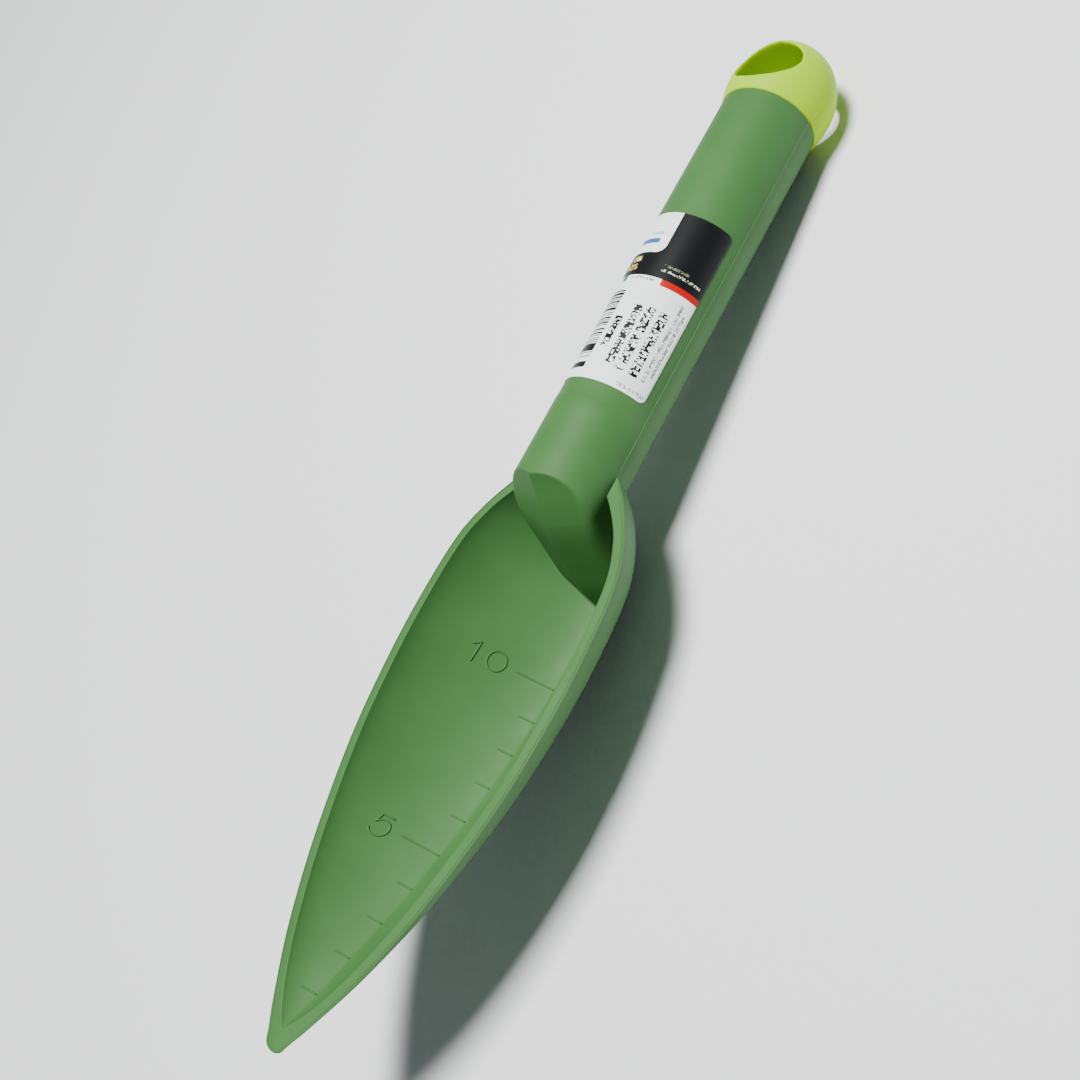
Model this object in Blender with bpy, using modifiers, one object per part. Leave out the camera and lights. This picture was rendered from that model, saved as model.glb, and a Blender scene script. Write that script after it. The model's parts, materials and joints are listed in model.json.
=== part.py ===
"""Hand trowel with a narrow deep blade, moulded in one piece with its tubular handle.

The pieces are modelled in the frame of the blade's rim: X across, Y from the tip
to the cap, Z square to the rim plane. An empty then tips them all together, so
that the trowel lies on its back, on the keel of the blade and the end cap.
Run with: blender --background --python part.py
"""

from math import atan, cos, exp, pi, radians, sin

import bmesh
import bpy
from mathutils import Matrix, Vector

# Blade: stations along Y with half width at the rim and outer depth below it. Its
# sections are superellipses of low power, so that they meet in a blunt keel.
BLADE_STATIONS = (
    # y, half width, depth
    (0.0000, 0.0012, 0.0008),
    (0.0010, 0.0030, 0.0016),
    (0.0034, 0.0042, 0.0026),
    (0.0098, 0.0079, 0.0050),
    (0.0245, 0.0150, 0.0110),
    (0.0442, 0.0218, 0.0188),
    (0.0687, 0.0275, 0.0258),
    (0.0883, 0.0298, 0.0297),
    (0.1079, 0.0304, 0.0320),
    (0.1276, 0.0290, 0.0326),
    (0.1384, 0.0253, 0.0322),
    (0.1472, 0.0199, 0.0289),
    (0.1521, 0.0159, 0.0243),
    (0.1555, 0.0123, 0.0174),
    (0.1575, 0.0088, 0.0108),
)
SECTION_POWER = 1.32
RIM_LAND = 0.00294
WALL = 0.0022
TIP_SOLID = 0.00520
TIP_BLEND = 0.00245
HOLLOW_MARGIN = 0.0008
BOWL_END = 0.14867
STATION_STEP = 0.0045
SECTION_POINTS = 34

# Handle: a tube whose axis is tipped down slightly, away from the rim plane.
HANDLE_TILT = radians(-1.29)
HANDLE_PIVOT_Y = 0.16977
NECK_RADIUS = 0.01361
GRIP_RADIUS = 0.01351
NECK_END = 0.16801
HANDLE_END = 0.26516
HANDLE_START = 0.12758
BORE_RADIUS = 0.01109
BORE_START = 0.15064
ROUND_SEGMENTS = 64

# Nose that closes the handle inside the blade: a raked face with a centre crease.
NOSE_CREASE = (
    # z, y of the crease
    (0.0196, 0.1479),
    (0.0119, 0.1437),
    (0.0052, 0.1394),
    (-0.0010, 0.1359),
    (-0.0069, 0.1340),
    (-0.0138, 0.1321),
    (-0.0212, 0.1303),
    (-0.0265, 0.1297),
    (-0.0353, 0.1289),
)
NOSE_SWEEP = 0.30
NOSE_REACH = 0.0200
NOSE_BLOCK_END = 0.1555
NOSE_INSET = 0.0001
NOSE_DROP = 0.0005
CORE_SHARE = 0.96

# End cap: an egg-shaped dome with an oval hanging hole and a hollow spigot.
CAP_EDGE_RADIUS = 0.01374
CAP_RADIUS = 0.01501
CAP_BELT_Y = 0.27331
CAP_DOME_HEIGHT = 0.01590
CAP_HOLE_Y = 0.2765
CAP_HOLE_HALF_WIDTH = 0.0100
CAP_HOLE_HALF_HEIGHT = 0.0073
SPIGOT_LENGTH = 0.01374
SPIGOT_WALL = 0.0018
SPIGOT_CHAMFER = 0.0008
DOME_STEPS = 14
FLARE_STEPS = 4
HOLE_SEGMENTS = 40

# Paper label wrapped round the grip.
LABEL_START = 0.17291
LABEL_END = 0.22404
LABEL_THICKNESS = 0.0002
LABEL_FIRST_ANGLE = radians(15.0)
LABEL_WRAP = radians(206.0)
LABEL_SEGMENTS = 30

CLEARANCE = 0.0003

# Search for the angle at which the trowel rests.
TILT_LIMIT = radians(10.0)
TILT_ACCURACY = 1e-7

OLIVE_GREEN = (0.044, 0.136, 0.036)
LIME_YELLOW = (0.35, 0.60, 0.0)
LABEL_WHITE = (0.86, 0.90, 0.92)


def remove_everything():
    for old in list(bpy.data.objects):
        bpy.data.objects.remove(old, do_unlink=True)


def new_collection(name):
    group = bpy.data.collections.new(name)
    bpy.context.scene.collection.children.link(group)
    return group


def plastic(name, colour, roughness):
    material = bpy.data.materials.new(name)
    material.use_nodes = True
    shader = material.node_tree.nodes["Principled BSDF"]
    shader.inputs["Base Color"].default_value = (*colour, 1.0)
    shader.inputs["Roughness"].default_value = roughness
    shader.inputs["Metallic"].default_value = 0.0
    return material


def object_from(bm, name, group):
    """Turns a bmesh into an object of the group, with its faces pointing out."""
    bmesh.ops.recalc_face_normals(bm, faces=bm.faces)
    mesh = bpy.data.meshes.new(name)
    bm.to_mesh(mesh)
    bm.free()
    piece = bpy.data.objects.new(name, mesh)
    group.objects.link(piece)
    return piece


def loft(name, rings, group):
    """Closed solid through rings that have equal numbers of points."""
    bm = bmesh.new()
    rows = [[bm.verts.new(point) for point in ring] for ring in rings]
    for row, following in zip(rows, rows[1:]):
        for i in range(len(row)):
            j = (i + 1) % len(row)
            bm.faces.new((row[i], row[j], following[j], following[i]))
    bm.faces.new(rows[0])
    bm.faces.new(reversed(rows[-1]))
    bmesh.ops.triangulate(bm, faces=bm.faces)
    return object_from(bm, name, group)


def turned(name, profile, group, segments=ROUND_SEGMENTS):
    """Solid of revolution about the handle's axis from (radius, y) points.

    The profile runs down the outer side, from the cap end to the blade end.
    """
    bm = bmesh.new()
    points = [bm.verts.new((radius, 0.0, y)) for radius, y in profile]
    for first, second in zip(points, points[1:]):
        bm.edges.new((first, second))
    mesh = bpy.data.meshes.new(name)
    bm.to_mesh(mesh)
    bm.free()
    piece = bpy.data.objects.new(name, mesh)
    group.objects.link(piece)
    screw = piece.modifiers.new("Turn", "SCREW")
    screw.steps = segments
    screw.render_steps = segments
    screw.use_merge_vertices = True
    screw.merge_threshold = 0.00001
    piece.matrix_world = handle_frame()
    return piece


def handle_frame():
    """Placement of a piece turned about Z, so that its Z runs along the handle."""
    pivot = Matrix.Translation((0.0, HANDLE_PIVOT_Y, 0.0))
    tilt = Matrix.Rotation(HANDLE_TILT, 4, "X")
    along = Matrix.Rotation(-pi / 2, 4, "X")
    return pivot @ tilt @ along @ Matrix.Translation((0.0, 0.0, -HANDLE_PIVOT_Y))


def combine(piece, other, operation):
    """Applies an exact Boolean and keeps the result as the piece's mesh."""
    cut = piece.modifiers.new(operation.title(), "BOOLEAN")
    cut.operation = operation
    cut.solver = "EXACT"
    cut.object = other
    bpy.context.view_layer.update()
    evaluated = piece.evaluated_get(bpy.context.evaluated_depsgraph_get())
    piece.modifiers.clear()
    piece.data = bpy.data.meshes.new_from_object(evaluated)


def smooth(values, t):
    """Catmull-Rom curve through equally ranked values, at rank t."""
    last = len(values) - 1
    i = min(int(t), last - 1)
    f = t - i
    before = values[max(i - 1, 0)]
    a = values[i]
    b = values[i + 1]
    after = values[min(i + 2, last)]
    start = (b - before) / 2
    end = (after - a) / 2
    return (
        a * (1 + 2 * f) * (1 - f) ** 2
        + start * f * (1 - f) ** 2
        + b * f * f * (3 - 2 * f)
        + end * f * f * (f - 1)
    )


def blade_at(t):
    """Position along Y, half width and outer depth at rank t of the stations."""
    return tuple(smooth([row[k] for row in BLADE_STATIONS], t) for k in range(3))


def rim_slope(t):
    """Change of half width along Y at rank t."""
    step = 0.05
    y0, w0, _ = blade_at(max(t - step, 0.0))
    y1, w1, _ = blade_at(min(t + step, len(BLADE_STATIONS) - 1))
    return (w1 - w0) / (y1 - y0)


def bowl_section(y, half_width, depth, top):
    """Ring across the bowl: a superellipse below the rim, closed at height top."""
    power = 2 / SECTION_POWER
    ring = [(half_width, y, top)] if top else []
    for i in range(SECTION_POINTS):
        angle = pi * i / (SECTION_POINTS - 1)
        side = 1 if angle < pi / 2 else -1
        across = side * half_width * abs(cos(angle)) ** power
        down = depth * sin(angle) ** power if 0 < i < SECTION_POINTS - 1 else 0.0
        ring.append((across, y, -down))
    if top:
        ring.append((-half_width, y, top))
    return ring


def station_ranks():
    """Ranks from tip to heel, spaced by about one step of length along Y."""
    ranks = []
    for i in range(len(BLADE_STATIONS) - 1):
        length = BLADE_STATIONS[i + 1][0] - BLADE_STATIONS[i][0]
        pieces = max(2, round(length / STATION_STEP))
        ranks += [i + k / pieces for k in range(pieces)]
    return ranks + [len(BLADE_STATIONS) - 1]


def outer_bowl(name, group, share=1.0):
    """Outside of the blade, filled up to the rim plane; share shrinks the sections."""
    rings = []
    for t in station_ranks():
        y, half_width, depth = blade_at(t)
        rings.append(bowl_section(y, half_width * share, depth * share, 0.0))
    return loft(name, rings, group)


def inner_bowl(group):
    """The hollow of the blade: the outer bowl less the rim's land and the wall."""
    rings = []
    for t in station_ranks():
        y, half_width, depth = blade_at(t)
        if not TIP_SOLID + HOLLOW_MARGIN < y < BOWL_END:
            continue
        land = RIM_LAND / cos(atan(rim_slope(t)))
        fade = 1 - exp(-(y - TIP_SOLID) / TIP_BLEND)
        rings.append(bowl_section(y, (half_width - land) * fade, (depth - WALL) * fade, WALL))
    return loft("inner_bowl", rings, group)


def crease_y(z):
    """Position along Y of the nose's crease at height z."""
    rows = sorted(NOSE_CREASE)
    for (z0, y0), (z1, y1) in zip(rows, rows[1:]):
        if z <= z1:
            return y0 + (y1 - y0) * (z - z0) / (z1 - z0)
    return rows[-1][1]


def nose_cutter(group):
    """All that lies in front of the raked, creased face that closes the handle."""
    rings = []
    for z, y in NOSE_CREASE:
        back = y + NOSE_SWEEP * NOSE_REACH
        front = HANDLE_START - NOSE_REACH
        rings.append(
            [(-NOSE_REACH, front, z), (-NOSE_REACH, back, z), (0.0, y, z),
             (NOSE_REACH, back, z), (NOSE_REACH, front, z)]
        )
    return loft("nose_cutter", rings, group)


def nose_block(group):
    """Plastic under the handle, from its widest line down to the blade's floor."""
    bm = bmesh.new()
    bmesh.ops.create_cube(bm, size=1.0)
    width = 2 * (NECK_RADIUS - NOSE_INSET)
    length = NOSE_BLOCK_END - HANDLE_START
    height = max(depth for _, _, depth in BLADE_STATIONS)
    bmesh.ops.scale(bm, vec=(width, length, height), verts=bm.verts)
    middle = (0.0, HANDLE_START + length / 2, -NOSE_DROP - height / 2)
    bmesh.ops.translate(bm, vec=middle, verts=bm.verts)
    return object_from(bm, "nose_block", group)


def trowel_body(parts, tools, material):
    """Blade, nose and tubular handle, one moulding."""
    body = outer_bowl("trowel_body", parts)
    core = outer_bowl("core", tools, CORE_SHARE)
    block = nose_block(tools)
    combine(block, core, "INTERSECT")
    hollow = inner_bowl(tools)
    combine(body, hollow, "DIFFERENCE")

    outline = [
        (0.0, HANDLE_END),
        (GRIP_RADIUS, HANDLE_END),
        (GRIP_RADIUS, NECK_END),
        (NECK_RADIUS, NECK_END),
        (NECK_RADIUS, HANDLE_START),
        (0.0, HANDLE_START),
    ]
    handle = turned("handle", outline, tools)
    combine(handle, block, "UNION")
    cutter = nose_cutter(tools)
    combine(handle, cutter, "DIFFERENCE")
    combine(body, handle, "UNION")

    beyond = HANDLE_END + BORE_RADIUS
    bore_outline = [
        (0.0, beyond),
        (BORE_RADIUS, beyond),
        (BORE_RADIUS, BORE_START + BORE_RADIUS / 2),
        (BORE_RADIUS / 2, BORE_START),
        (0.0, BORE_START),
    ]
    bore = turned("bore", bore_outline, tools)
    combine(body, bore, "DIFFERENCE")
    body.data.materials.clear()
    body.data.materials.append(material)
    return body


def dome_profile():
    """Outer side of the cap, from its top down to its edge on the grip."""
    points = []
    for i in range(DOME_STEPS + 1):
        angle = pi / 2 * (1 - i / DOME_STEPS)
        radius = CAP_RADIUS * cos(angle) if i else 0.0
        points.append((radius, CAP_BELT_Y + CAP_DOME_HEIGHT * sin(angle)))
    edge = HANDLE_END + CLEARANCE
    drop = CAP_BELT_Y - edge
    flare = 1 - (CAP_EDGE_RADIUS / CAP_RADIUS) ** 2
    for i in range(1, FLARE_STEPS + 1):
        fall = i / FLARE_STEPS
        points.append((CAP_RADIUS * (1 - flare * fall * fall) ** 0.5, CAP_BELT_Y - drop * fall))
    return points


def end_cap(parts, tools, material):
    """Domed plug with a hanging hole square to the rim plane."""
    edge = HANDLE_END + CLEARANCE
    spigot = BORE_RADIUS - CLEARANCE
    foot = edge - SPIGOT_LENGTH
    profile = dome_profile() + [
        (spigot, edge),
        (spigot, foot + SPIGOT_CHAMFER),
        (spigot - SPIGOT_CHAMFER, foot),
        (spigot - SPIGOT_WALL, foot),
        (spigot - SPIGOT_WALL, edge),
        (0.0, edge),
    ]
    cap = turned("end_cap", profile, parts)
    bm = bmesh.new()
    bmesh.ops.create_cone(
        bm, cap_ends=True, segments=HOLE_SEGMENTS, radius1=1.0, radius2=1.0, depth=4 * CAP_RADIUS
    )
    bmesh.ops.scale(
        bm, vec=(CAP_HOLE_HALF_WIDTH, CAP_HOLE_HALF_HEIGHT, 1.0), verts=bm.verts
    )
    bmesh.ops.rotate(bm, matrix=Matrix.Rotation(pi / 2, 3, "X"), verts=bm.verts)
    bmesh.ops.translate(bm, vec=(0.0, 0.0, CAP_HOLE_Y), verts=bm.verts)
    hole = object_from(bm, "hanging_hole", tools)
    hole.matrix_world = handle_frame()
    combine(cap, hole, "DIFFERENCE")
    cap.data.materials.clear()
    cap.data.materials.append(material)
    return cap


def label(parts, material):
    """Thin sheet wrapped round the grip, open at the back."""
    inner = GRIP_RADIUS + CLEARANCE
    rings = []
    for i in range(LABEL_SEGMENTS + 1):
        angle = -(LABEL_FIRST_ANGLE + LABEL_WRAP * i / LABEL_SEGMENTS)
        across = Vector((cos(angle), sin(angle), 0.0))
        ring = []
        for radius, y in (
            (inner, LABEL_START),
            (inner, LABEL_END),
            (inner + LABEL_THICKNESS, LABEL_END),
            (inner + LABEL_THICKNESS, LABEL_START),
        ):
            ring.append(across * radius + Vector((0.0, 0.0, y)))
        rings.append(ring)
    sheet = loft("label", rings, parts)
    sheet.matrix_world = handle_frame()
    sheet.data.materials.append(material)
    return sheet


def lowest(piece, tilt):
    """Height of the lowest point of a piece after tipping it about X."""
    turn = Matrix.Rotation(tilt, 4, "X") @ piece.matrix_world
    points = [turn @ vertex.co for vertex in piece.data.vertices]
    return min(point.z for point in points)


def rest_tilt(body, cap):
    """Angle at which the blade's keel and the cap stand on one level."""
    low = -TILT_LIMIT
    high = TILT_LIMIT
    while high - low > TILT_ACCURACY:
        middle = (low + high) / 2
        if lowest(cap, middle) > lowest(body, middle):
            high = middle
        else:
            low = middle
    return (low + high) / 2


def lay_down(pieces, tilt):
    """Parents the pieces to an empty that tips them and centres them on the ground."""
    turn = Matrix.Rotation(tilt, 4, "X")
    points = [turn @ p.matrix_world @ v.co for p in pieces for v in p.data.vertices]
    middle = [(min(q[k] for q in points) + max(q[k] for q in points)) / 2 for k in (0, 1)]
    ground = min(q.z for q in points)
    rest = bpy.data.objects.new("rest_pose", None)
    bpy.context.scene.collection.objects.link(rest)
    rest.rotation_euler = (tilt, 0.0, 0.0)
    rest.location = (-middle[0], -middle[1], -ground)
    for piece in pieces:
        piece.parent = rest
    return rest


def main():
    remove_everything()
    parts = new_collection("hand_trowel")
    tools = new_collection("cutters")
    olive = plastic("olive_plastic", OLIVE_GREEN, 0.45)
    lime = plastic("lime_plastic", LIME_YELLOW, 0.30)
    paper = plastic("label_paper", LABEL_WHITE, 0.40)
    body = trowel_body(parts, tools, olive)
    cap = end_cap(parts, tools, lime)
    sheet = label(parts, paper)
    lay_down([body, cap, sheet], rest_tilt(body, cap))
    for piece in parts.objects:
        piece.data.shade_smooth()
        piece.data.set_sharp_from_angle(angle=radians(35.0))
    for cutter in tools.objects:
        cutter.hide_render = True
        cutter.display_type = "WIRE"


main()
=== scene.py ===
import json
from math import acos, asin, atan, atan2, ceil, cos, hypot, exp, pi, radians, sin, sqrt, tan

import bmesh
import bpy
import numpy as np
from mathutils import Matrix, Vector


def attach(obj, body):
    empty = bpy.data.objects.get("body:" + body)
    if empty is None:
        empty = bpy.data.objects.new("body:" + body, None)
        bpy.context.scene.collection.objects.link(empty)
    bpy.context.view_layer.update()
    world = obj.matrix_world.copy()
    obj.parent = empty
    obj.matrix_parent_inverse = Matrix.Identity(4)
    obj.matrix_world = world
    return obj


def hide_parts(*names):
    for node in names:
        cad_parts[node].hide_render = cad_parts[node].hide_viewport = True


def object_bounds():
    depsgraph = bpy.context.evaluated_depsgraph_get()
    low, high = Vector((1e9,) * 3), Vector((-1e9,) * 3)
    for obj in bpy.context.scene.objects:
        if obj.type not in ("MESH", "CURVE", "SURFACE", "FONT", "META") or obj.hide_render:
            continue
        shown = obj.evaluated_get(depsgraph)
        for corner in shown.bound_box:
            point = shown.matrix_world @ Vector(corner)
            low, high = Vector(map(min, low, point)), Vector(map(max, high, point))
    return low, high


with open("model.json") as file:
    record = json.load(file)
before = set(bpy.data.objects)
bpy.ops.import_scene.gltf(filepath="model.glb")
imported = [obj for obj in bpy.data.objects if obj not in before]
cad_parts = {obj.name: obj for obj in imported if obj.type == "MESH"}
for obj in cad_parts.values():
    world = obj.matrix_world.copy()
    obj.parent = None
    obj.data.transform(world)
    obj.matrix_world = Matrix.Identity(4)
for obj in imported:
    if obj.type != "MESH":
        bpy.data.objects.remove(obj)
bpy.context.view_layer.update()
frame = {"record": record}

# The shapes below are in the frame of the blade's rim: X across, Y from the tip to the
# cap, Z square to the rim plane. The record's rim mount places that frame in the world.
RIM_MOUNT = Vector((0.0289, 0.1080, 0.0))

# Blade: stations along Y with half width at the rim and outer depth below it. Its
# sections are superellipses of low power, so that they meet in a blunt keel.
BLADE_STATIONS = (
    (0.0000, 0.0026, 0.0016),
    (0.0034, 0.0042, 0.0026),
    (0.0098, 0.0079, 0.0050),
    (0.0245, 0.0150, 0.0110),
    (0.0442, 0.0218, 0.0188),
    (0.0687, 0.0275, 0.0258),
    (0.0883, 0.0298, 0.0297),
    (0.1079, 0.0304, 0.0320),
    (0.1276, 0.0290, 0.0326),
    (0.1384, 0.0253, 0.0322),
    (0.1472, 0.0199, 0.0289),
    (0.1521, 0.0159, 0.0243),
    (0.1555, 0.0123, 0.0174),
    (0.1575, 0.0088, 0.0108),
)
POWER = 1.32
TIP_ROUND = 0.00157
WALL = 0.0022
LAND = 0.00289
LAND_SLOPE = tan(radians(8.4))

# Hollow: where it opens behind the tip, how fast it deepens, and its rounded edge.
HOLLOW_START = 0.00520
HOLLOW_BLEND = 0.00245
HOLLOW_LEAST = 0.0001
EDGE_ROUND = 0.00030
EDGE_ROUND_DEPTH = 0.0008
EDGE_ROUND_END = 0.004

# Flash bead, groove and land: how far the bead stands out, and the distance from the
# outer edge and height above the land of each point.
BEAD = 0.00012
BEAD_FADE = 0.001
BEAD_PROFILE = (
    (0.00006, 0.00014),
    (0.00018, 0.00018),
    (0.00032, 0.00010),
    (0.00042, -0.00010),
    (0.00054, -0.00011),
    (0.00066, 0.0),
    (0.00120, 0.0),
    (0.00200, 0.0),
)

# Handle
TILT = radians(-1.29)
PIVOT_Y = 0.16977
NECK_RADIUS = 0.01361
GRIP_RADIUS = 0.01351
NECK_END = 0.16801
NECK_STEP = 0.00015
HANDLE_END = 0.26516
BORE_RADIUS = 0.01109
BORE_START = 0.15064
BORE_SHOULDER = 0.0056
FLASH = 0.00016
FLASH_TURN = radians(0.45)
FLASH_EDGE = 1.5 * FLASH_TURN
FLASH_FADE = 0.001

# Where the handle leaves the blade: the search range, where its sections have become
# square to its axis, and over what length they turn.
JOIN_LOW = 0.150
JOIN_HIGH = 0.160
HEEL_HIGH = 0.1605
JOIN_SETTLED = 0.16094
SQUARE_LENGTH = 0.004

# Nose: the face that closes the handle inside the blade.
NOSE_CREASE = (
    # z, y of the crease
    (-0.0353, 0.1289),
    (-0.0265, 0.1297),
    (-0.0212, 0.1303),
    (-0.0138, 0.1321),
    (-0.0069, 0.1340),
    (-0.0010, 0.1359),
    (0.0052, 0.1394),
    (0.0119, 0.1437),
    (0.0196, 0.1479),
)
NOSE_SWEEP = 0.30
NOSE_EDGE = 0.0005
NOSE_EDGE_LOW = 0.0042
NOSE_FILLET = 0.0010

# Where the land's inner edge meets the handle, and where the rows straighten ahead of it.
NOTCH_Y = 0.14887
HEEL_Y = 0.13739
FRONT_Y = 0.12365
BLEND_Y = 0.1160

# Depth scale: marks every centimetre that end at the keel, and numerals on the left wall.
TICK_START = 0.0046
TICK_STEP = 0.0100
TICKS = 10
TICK_REACH = 0.0042
LONG_TICK_REACH = 0.0098
ONE = ((-0.01927, 0.10598), (-0.01787, 0.10730), (-0.01806, 0.10169))
ZERO_CENTRE = (-0.01387, 0.10462)
ZERO_HALF_WIDTH = 0.00185
ZERO_HALF_HEIGHT = 0.00275
FIVE_TOP = ((-0.01242, 0.05715), (-0.01469, 0.05722), (-0.01506, 0.05480))
FIVE_BOWL = (
    (-0.01506, 0.05480),
    (-0.01440, 0.05570),
    (-0.01345, 0.05605),
    (-0.01250, 0.05550),
    (-0.01200, 0.05430),
    (-0.01210, 0.05310),
    (-0.01269, 0.05215),
    (-0.01350, 0.05165),
    (-0.01430, 0.05175),
    (-0.01500, 0.05215),
    (-0.01543, 0.05295),
)
STROKE_HALF_WIDTH = 0.00026
STROKE_HEIGHT = 0.00034
STROKE_STEP = 0.0006
SWEEP_SIDES = 10

# End cap
CAP_EDGE_RADIUS = 0.01374
CAP_RADIUS = 0.01501
CAP_BELT_Y = 0.27331
CAP_DOME_HEIGHT = 0.01590
CAP_HOLE_Y = 0.2765
CAP_HOLE_HALF_WIDTH = 0.0100
CAP_HOLE_HALF_HEIGHT = 0.0073
CAP_GAP = 0.00008
SPIGOT_GAP = 0.0003
CAP_LINE = 0.00006
SPIGOT_LENGTH = 0.01374
SPIGOT_WALL = 0.0018
CAP_VOXEL = 0.00032
CAP_SEGMENTS = 96
CAP_HOLE_SEGMENTS = 128
DOME_STEPS = 24
FLARE_STEPS = 8
CAP_SMOOTHING = 6
CAP_LIP = 0.0020
CAP_LIP_SMOOTHING = 60

# Label
LABEL_START = 0.17291
LABEL_END = 0.22404
LABEL_FIRST_ANGLE = radians(15.0)
LABEL_WRAP = radians(206.0)
LABEL_CORNER = 0.00167
LABEL_LIFT = 0.00004
LABEL_COLUMNS = 72
LABEL_ROWS = 12
LABEL_BULGE = radians(2.9)
LABEL_BULGE_TOP = 1.6
LABEL_THICKNESS = 0.00010
LABEL_WHITE = (0.86, 0.90, 0.92)
INK = (0.005, 0.006, 0.007)
GREY_INK = (0.20, 0.21, 0.22)
# What is printed: millimetres along the grip, millimetres round it, corner radius,
# pattern and colour. Later rows lie over earlier ones.
LABEL_PRINT = (
    ((31.4, 60.0), (-5.0, 60.0), 0.1, "plain", INK),
    ((38.5, 60.0), (14.6, 36.0), 2.6, "plain", LABEL_WHITE),
    ((29.6, 31.4), (-1.0, 11.1), 0.05, "plain", (0.42, 0.002, 0.002)),
    ((29.6, 31.4), (22.0, 24.2), 0.05, "plain", (0.03, 0.16, 0.09)),
    ((41.4, 42.9), (17.4, 25.0), 0.7, "plain", (0.03, 0.13, 0.30)),
    ((44.2, 45.0), (17.4, 22.0), 0.4, "plain", (0.30, 0.52, 0.68)),
    ((33.5, 34.2), (1.4, 12.5), 0.05, "small", (0.55, 0.58, 0.42)),
    ((34.9, 35.6), (5.5, 12.3), 0.05, "small", (0.16, 0.17, 0.12)),
    ((33.1, 34.9), (20.4, 25.0), 0.2, "letters", (0.62, 0.42, 0.05)),
    ((35.8, 37.3), (20.4, 24.2), 0.2, "letters", (0.75, 0.62, 0.20)),
    ((4.7, 23.3), (4.9, 7.4), 0.2, "letters", INK),
    ((4.7, 5.5), (8.5, 11.1), 0.2, "letters", INK),
    ((6.8, 14.9), (8.6, 11.0), 0.2, "letters", INK),
    ((16.1, 23.3), (8.6, 11.0), 0.2, "letters", INK),
    ((5.5, 23.0), (11.8, 14.1), 0.2, "letters", INK),
    ((9.5, 18.7), (15.7, 18.0), 0.2, "letters", INK),
    ((7.0, 25.3), (1.2, 2.1), 0.1, "small", GREY_INK),
    ((4.5, 27.6), (2.7, 3.6), 0.1, "small", GREY_INK),
    ((0.9, 1.8), (1.0, 8.7), 0.1, "small", GREY_INK),
    ((30.2, 30.9), (13.1, 20.8), 0.1, "small", GREY_INK),
    ((2.4, 26.6), (19.5, 28.5), 0.05, "bars", INK),
    ((4.0, 25.0), (29.2, 30.6), 0.1, "small", INK),
    ((4.0, 27.0), (33.0, 34.0), 0.1, "small", GREY_INK),
    ((4.0, 24.0), (35.4, 36.4), 0.1, "small", GREY_INK),
    ((4.0, 26.0), (37.8, 38.8), 0.1, "small", GREY_INK),
)

# Camera, in the rim frame
CAMERA_PLACE = Vector((0.22337, 0.06736, 0.21553))
CAMERA_TARGET = Vector((-0.00036, 0.13372, 0.0))
CAMERA_ROLL = radians(-50.738)
CAMERA_LENS = 42.64
SENSOR = 36.0


# ---------------------------------------------------------------- curves and grids

def catmull(values, rank):
    """Catmull-Rom curve through equally ranked values."""
    last = len(values) - 1
    i = min(int(rank), last - 1)
    f = rank - i
    a, b = values[i], values[i + 1]
    start = (b - values[max(i - 1, 0)]) / 2
    end = (values[min(i + 2, last)] - a) / 2
    return (
        a * (1 + 2 * f) * (1 - f) ** 2
        + start * f * (1 - f) ** 2
        + b * f * f * (3 - 2 * f)
        + end * f * f * (f - 1)
    )


def dense(table, count=3000):
    """Columns of a table read at many ranks, for interpolation."""
    columns = list(zip(*table))
    ranks = np.linspace(0, len(table) - 1, count)
    return [np.array([catmull(column, r) for r in ranks]) for column in columns]


BLADE_Y, BLADE_W, BLADE_D = dense(BLADE_STATIONS)
CREASE_Z, CREASE_Y = dense(NOSE_CREASE)


def lerp(a, b, t):
    return a + (b - a) * t


def clip(value, low=0.0, high=1.0):
    return max(low, min(high, value))


def ease(t):
    t = clip(t)
    return t * t * (3 - 2 * t)


def bezier(a, b, c, steps):
    """Points of a quadratic arc that leaves a towards b and arrives at c."""
    a, b, c = (np.array(p, float) for p in (a, b, c))
    ts = np.linspace(0, 1, steps + 1)
    return [(1 - t) ** 2 * a + 2 * t * (1 - t) * b + t * t * c for t in ts]


class Skin:
    """Sheets of quads that are welded along the edges they share."""

    def __init__(self):
        self.points = []
        self.faces = []

    def sheet(self, grid):
        grid = np.asarray(grid, float)
        rows, columns = grid.shape[:2]
        start = len(self.points)
        self.points.extend(map(tuple, grid.reshape(-1, 3)))
        for r in range(rows - 1):
            for c in range(columns - 1):
                i = start + r * columns + c
                self.faces.append((i, i + 1, i + columns + 1, i + columns))

    def piece(self, name, material, sharp=34.0, weld=2e-6):
        mesh = bpy.data.meshes.new(name)
        mesh.from_pydata(self.points, [], self.faces)
        bm = bmesh.new()
        bm.from_mesh(mesh)
        bmesh.ops.remove_doubles(bm, verts=bm.verts, dist=weld)
        bmesh.ops.dissolve_degenerate(bm, edges=bm.edges, dist=1e-7)
        bmesh.ops.recalc_face_normals(bm, faces=bm.faces)
        loose = [v for v in bm.verts if not v.link_faces]
        bmesh.ops.delete(bm, geom=loose, context="VERTS")
        bm.to_mesh(mesh)
        bm.free()
        return finish_piece(name, mesh, material, sharp)


def finish_piece(name, mesh, material, sharp=34.0):
    """Puts a mesh made in the rim frame into the world as a smooth-shaded piece."""
    piece = bpy.data.objects.new(name, mesh)
    bpy.context.scene.collection.objects.link(piece)
    mesh.transform(REST)
    mesh.shade_smooth()
    mesh.set_sharp_from_angle(angle=radians(sharp))
    mesh.materials.clear()
    mesh.materials.append(material)
    return piece


def rest_frame():
    """Placement of the rim frame, from the record's rim mount."""
    mounts = {m["name"]: m for m in frame["record"]["mounts"]}
    mount = mounts["rim_land"]
    normal = Vector(mount["axis"]).normalized()
    turn = Matrix.Rotation(-asin(normal.y), 4, "X")
    return Matrix.Translation(Vector(mount["pos_m"])) @ turn @ Matrix.Translation(-RIM_MOUNT)


REST = rest_frame()


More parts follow.
